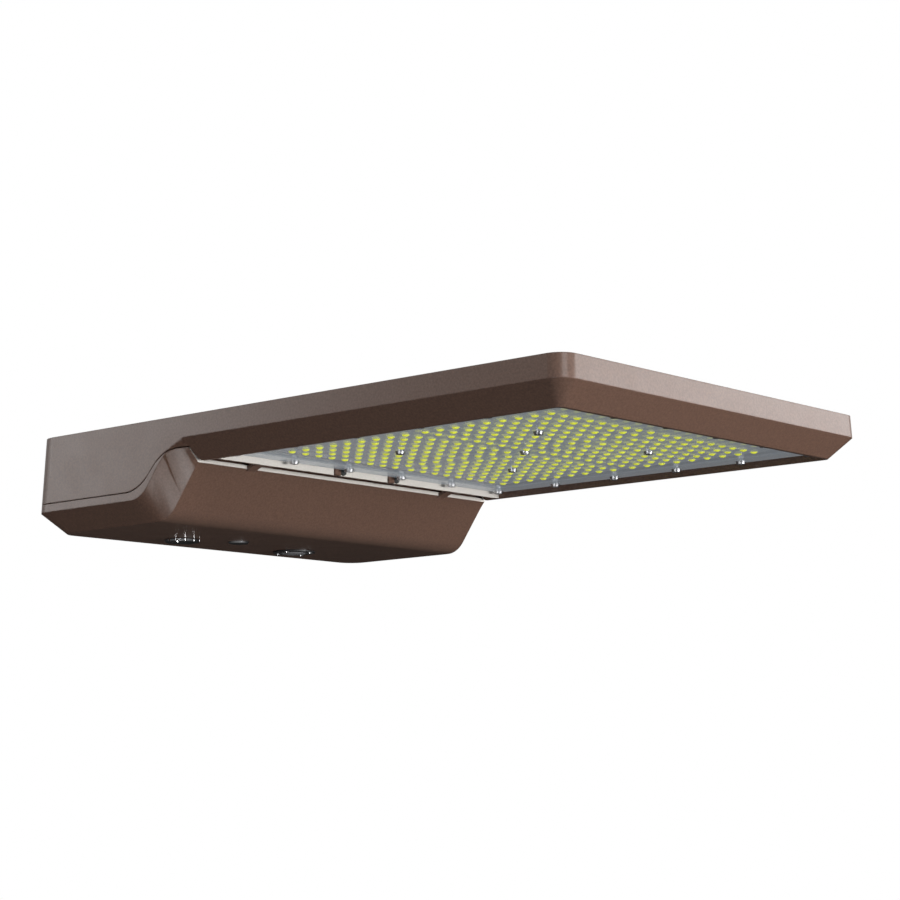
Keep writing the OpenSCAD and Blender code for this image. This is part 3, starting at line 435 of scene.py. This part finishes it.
def smooth_copy(node, name, shape):
    """A merged copy of a CAD node, smooth along its swept faces, that stands for the node."""
    bm = bmesh.new()
    bm.from_mesh(frame["nodes"][node].data)
    bmesh.ops.remove_doubles(bm, verts=bm.verts, dist=MERGE)
    bmesh.ops.dissolve_limit(bm, angle_limit=LEVEL_ANGLE, verts=bm.verts, edges=bm.edges)
    shape(bm)
    for face in bm.faces:
        face.smooth = True
    piece = from_bmesh(bm, name)
    piece.data.set_sharp_from_angle(angle=SHARP_ANGLE)
    level = piece.modifiers.new("level_faces", "WEIGHTED_NORMAL")
    level.mode, level.weight, level.keep_sharp = "FACE_AREA", FLAT_WEIGHT, True
    return piece


def painted_light_face(bm, x):
    """The upright face at x that looks towards the optic gets the pale finish, painted light for
    the light that falls on it.
    """
    for face in bm.faces:
        near = abs(face.calc_center_median().x - x) < FACE_REACH
        # Index 1 is the pale painted light
        face.material_index = 1 if near and face.normal.x > FACE_SQUARE else 0


def rail_painted_light(bm):
    """The end rail's face is painted pale, as painted light."""
    painted_light_face(bm, RAIL_FACE_X)


def finish_door(bm):
    """The lip's face is painted pale, as painted light, and the rim stands nearer the head along
    the seam's level part.
    """
    painted_light_face(bm, LIP_FACE_X)
    for vert in bm.verts:
        if vert.co.x < SEAM_LEVEL_X and abs(vert.co.z - SEAM_LEVEL_Z) < SEAM_REACH:
            vert.co.z += SEAM_LIFT


def low_bosses(bm):
    """The cover's lenslets are cut down to low bosses; the domes stand on them."""
    low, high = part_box("optic_lens")
    for vert in bm.verts:
        x, y, z = vert.co
        inside = (low[0] + COVER_BORDER < x < high[0] - COVER_BORDER
                  and abs(y) < high[1] - COVER_BORDER)
        if inside and z < TIP_LEVEL:
            vert.co.z = TIP_LEFT


def make_castings(finishes):
    """The head, the door and the cover, each with its finishes and its body."""
    # The castings' second finish is the pale painted light of their upright faces
    for node, name, shape, coats, slot, body in (
            ("housing", "housing_casting", rail_painted_light, ("bronze_powder", "rail_painted_light"),
             "bronze_paint", "head"),
            ("driver_door", "door_casting", finish_door, ("bronze_powder", "rail_painted_light"),
             "bronze_paint", "door"),
            ("optic_lens", "optic_cover", low_bosses, ("clear_lens",), "clear_lens", "head")):
        piece = smooth_copy(node, name, shape)
        for coat in coats:
            piece.data.materials.append(finishes[coat])
        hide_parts(node)
        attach(piece, body)


# ---- Lens domes -------------------------------------------------------------------------------

BOARDS = 4
LED_COUNT = 9
CHIP_W = 3.4 * MM
PLATE_T = 3.0 * MM
DOME_R = 2.8 * MM
DOME_H = 1.7 * MM
DOME_SIDES = 12
DOME_RINGS = 3


def led_places(board):
    """Centres of one board's LEDs, read from the outer box of its chips; the middle is a screw."""
    low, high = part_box("led_chips_%d" % board)
    middle, last = LED_COUNT // 2, LED_COUNT - 1
    for i in range(LED_COUNT):
        for j in range(LED_COUNT):
            if i != middle or j != middle:
                share = (i / last, j / last)
                yield [low[a] + CHIP_W / 2 + share[a] * (high[a] - low[a] - CHIP_W)
                       for a in (0, 1)]


def one_dome():
    """A low dome that hangs below its own origin, closed at its base."""
    bm = bmesh.new()
    bmesh.ops.create_uvsphere(bm, u_segments=DOME_SIDES, v_segments=2 * DOME_RINGS + 2,
                              radius=DOME_R)
    bmesh.ops.bisect_plane(bm, geom=bm.verts[:] + bm.edges[:] + bm.faces[:],
                           plane_co=(0.0, 0.0, 0.0), plane_no=(0.0, 0.0, 1.0), clear_outer=True)
    bmesh.ops.edgeloop_fill(bm, edges=[edge for edge in bm.edges if edge.is_boundary])
    bmesh.ops.scale(bm, verts=bm.verts, vec=(1.0, 1.0, DOME_H / DOME_R))
    bmesh.ops.recalc_face_normals(bm, faces=bm.faces)
    for face in bm.faces:
        face.smooth = len(face.verts) < DOME_SIDES
    mesh = bpy.data.meshes.new("one_dome")
    bm.to_mesh(mesh)
    bm.free()
    return mesh


def make_lens_domes(finish):
    """The yellow that each of the optic's moulded lenslets magnifies across itself."""
    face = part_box("optic_lens")[1][2] - PLATE_T
    dome = one_dome()
    bm = bmesh.new()
    for board in range(1, BOARDS + 1):
        for x, y in led_places(board):
            dome.transform(Matrix.Translation((x, y, face)))
            bm.from_mesh(dome)
            dome.transform(Matrix.Translation((-x, -y, -face)))
    bpy.data.meshes.remove(dome)
    domes = from_bmesh(bm, "lens_domes")
    domes.data.materials.append(finish)
    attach(domes, "head")


# ---- Dress the frame --------------------------------------------------------------------------


def paint(node, finish):
    node.data.materials.clear()
    node.data.materials.append(finish)
    for face in node.data.polygons:
        face.material_index = 0


def dress(finishes):
    """Each CAD node gets its own finish, or its slot's."""
    for part in frame["record"]["subparts"]:
        finish = NODE_FINISH.get(part["node"], SLOT_FINISH[part["material_slot"]])
        paint(frame["nodes"][part["node"]], finishes[finish])


make_camera()
make_world()
make_floor()
for lamp_name, lamp in LAMPS.items():
    make_lamp(lamp_name, *lamp)
object_finishes = make_finishes()
make_lens_domes(object_finishes["dome_glow"])
make_castings(object_finishes)
dress(object_finishes)

bpy.context.scene.view_settings.view_transform = "Standard"
